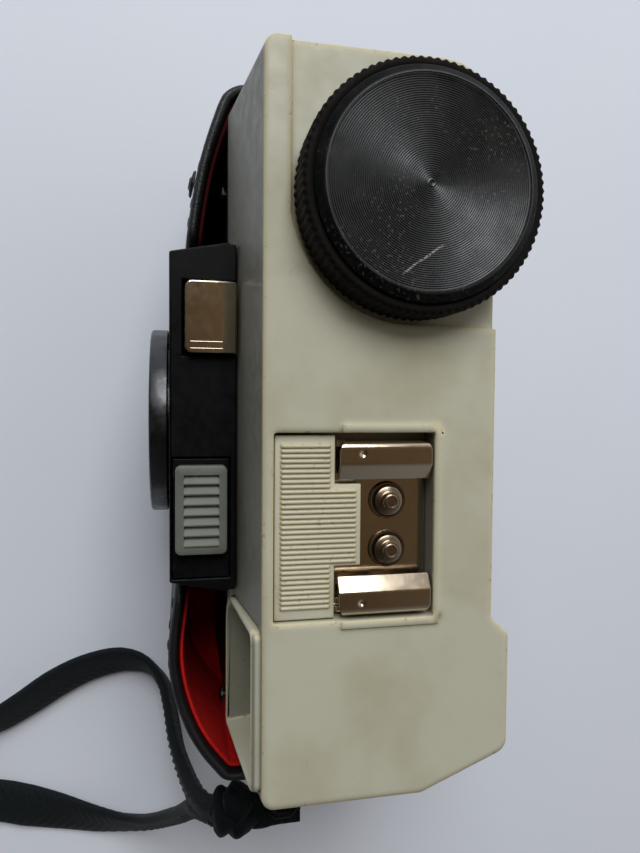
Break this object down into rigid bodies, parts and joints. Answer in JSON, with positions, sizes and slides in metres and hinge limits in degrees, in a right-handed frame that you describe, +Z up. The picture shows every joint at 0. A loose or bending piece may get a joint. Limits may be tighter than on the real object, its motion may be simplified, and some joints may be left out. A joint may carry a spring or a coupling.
{
  "type": "compact film camera",
  "caption": "Compact viewfinder film camera with a large top wheel and an accessory shoe, in an open leather half-case with a wrist strap.",
  "frame": {"origin": "on the half-case's flat underside, below the front edge of the camera's top plate and on the lens's plane within 0.2 mm", "axes": "+Z up through the top plate, -Y the way the lens looks, +X along the body towards the finder and the strap"},
  "size_m": [0.1367, 0.0945, 0.0686],
  "materials": {
    "body_putty": "moulded, satin, slightly yellowed",
    "black_plastic": "moulded, fine texture",
    "black_gloss": "smooth, glossy",
    "grey_plastic": "moulded, satin",
    "black_metal": "black anodised",
    "wheel_face": "black anodised, turned with fine circular grooves",
    "nickel": "nickel plated, tarnished",
    "steel": "plain",
    "brass": "machined",
    "glass": "polished, coated",
    "case_leather": "fine grain",
    "red_lining": "short velvet pile",
    "strap_lace": "flat woven lace"
  },
  "bodies": {
    "camera": {"top_cover": "body_putty", "finder_hood": "body_putty", "shoe_ribbed_plate": "body_putty", "lower_body": "black_plastic", "base_plate": "black_plastic", "rear_cover": "black_plastic", "lens_block": "black_plastic", "switch_panel": "black_gloss", "light_chamber": "black_plastic", "finder_tube": "black_plastic", "eyepiece_frame": "black_plastic", "film_gate": "black_metal", "front_barrel": "black_metal", "rear_barrel": "black_metal", "retaining_ring": "black_metal", "shutter_plate": "black_metal", "accessory_shoe": "nickel", "shoe_stud_1": "nickel", "shoe_stud_2": "nickel", "shoe_washer_1": "nickel", "shoe_washer_2": "nickel", "button_spring": "steel", "button_bracket": "steel", "pressure_spring": "steel", "base_screw_1": "steel", "base_screw_2": "steel", "base_screw_3": "steel", "base_screw_4": "steel", "front_screw_1": "steel", "front_screw_2": "steel", "wheel_bush": "brass", "tripod_bush": "brass", "front_element": "glass", "rear_element": "glass", "finder_window": "glass", "finder_eyepiece": "glass", "half_case_shell": "case_leather", "half_case_lining": "red_lining", "case_snap_stud": "steel", "strap_lug": "steel", "strap": "strap_lace", "strap_knot": "strap_lace"},
    "advance_wheel": {"wheel_rim": "black_metal", "wheel_cap": "wheel_face", "wheel_shaft": "steel", "wheel_gear": "brass", "takeup_spool": "black_plastic"},
    "sprocket": {"sprocket_roller": "black_plastic", "sprocket_gear": "brass"},
    "button": {"shutter_button": "nickel"},
    "blade_a": {"shutter_blade_a": "black_metal"},
    "blade_b": {"shutter_blade_b": "black_metal"},
    "switch": {"slide_switch": "grey_plastic"},
    "focus": {"focus_ring": "black_metal"},
    "aperture": {"aperture_ring": "steel"},
    "rewind": {"rewind_knob": "black_metal", "rewind_fork": "steel"},
    "film_pressure": {"pressure_plate": "black_metal"},
    "case_fixing": {"case_screw": "steel"}
  },
  "joints": [
    {"name": "advance_wheel_turn", "type": "hinge", "parent": "camera", "child": "advance_wheel", "pos_m": [-0.02905, 0.0188, 0.062], "axis": [0, 0, 1], "continuous": true},
    {"name": "sprocket_turn", "type": "hinge", "parent": "camera", "child": "sprocket", "pos_m": [-0.01705, 0.0188, 0.05], "axis": [0, 0, 1], "continuous": true},
    {"name": "shutter_button_press", "type": "slide", "parent": "camera", "child": "button", "axis": [0, 0, -1], "range_m": [0, 0.0015], "stiffness_N_per_m": 300, "springref_m": -0.002, "deforming": ["button_spring"]},
    {"name": "shutter_blade_a_swing", "type": "hinge", "parent": "camera", "child": "blade_a", "pos_m": [-0.0092, -0.00805, 0.036], "axis": [0, 1, 0], "range_deg": [0, 40]},
    {"name": "shutter_blade_b_swing", "type": "hinge", "parent": "camera", "child": "blade_b", "pos_m": [0.0088, -0.00735, 0.036], "axis": [0, 1, 0], "range_deg": [-40, 0]},
    {"name": "slide_switch_travel", "type": "slide", "parent": "camera", "child": "switch", "axis": [1, 0, 0], "range_m": [0, 0.003]},
    {"name": "focus_ring_turn", "type": "hinge", "parent": "camera", "child": "focus", "pos_m": [-0.0002, -0.0135, 0.027], "axis": [0, -1, 0], "range_deg": [0, 120]},
    {"name": "aperture_ring_turn", "type": "hinge", "parent": "camera", "child": "aperture", "pos_m": [-0.0002, -0.0144, 0.027], "axis": [0, -1, 0], "range_deg": [-30, 60]},
    {"name": "rewind_knob_turn", "type": "hinge", "parent": "camera", "child": "rewind", "pos_m": [0.033, 0.014, 0.006], "axis": [0, 0, 1], "continuous": true},
    {"name": "pressure_plate_travel", "type": "slide", "parent": "camera", "child": "film_pressure", "axis": [0, 1, 0], "range_m": [0, 0.0004], "stiffness_N_per_m": 400, "springref_m": -0.0005},
    {"name": "case_screw_turn", "type": "hinge", "parent": "camera", "child": "case_fixing", "pos_m": [0, 0.013, 0.001], "axis": [0, 0, 1], "continuous": true}
  ],
  "couplings": [
    {"joint": "sprocket_turn", "follows": "advance_wheel_turn", "ratio": -1},
    {"joint": "shutter_blade_a_swing", "follows": "shutter_button_press", "rad_per_m": 460},
    {"joint": "shutter_blade_b_swing", "follows": "shutter_button_press", "rad_per_m": -460}
  ]
}
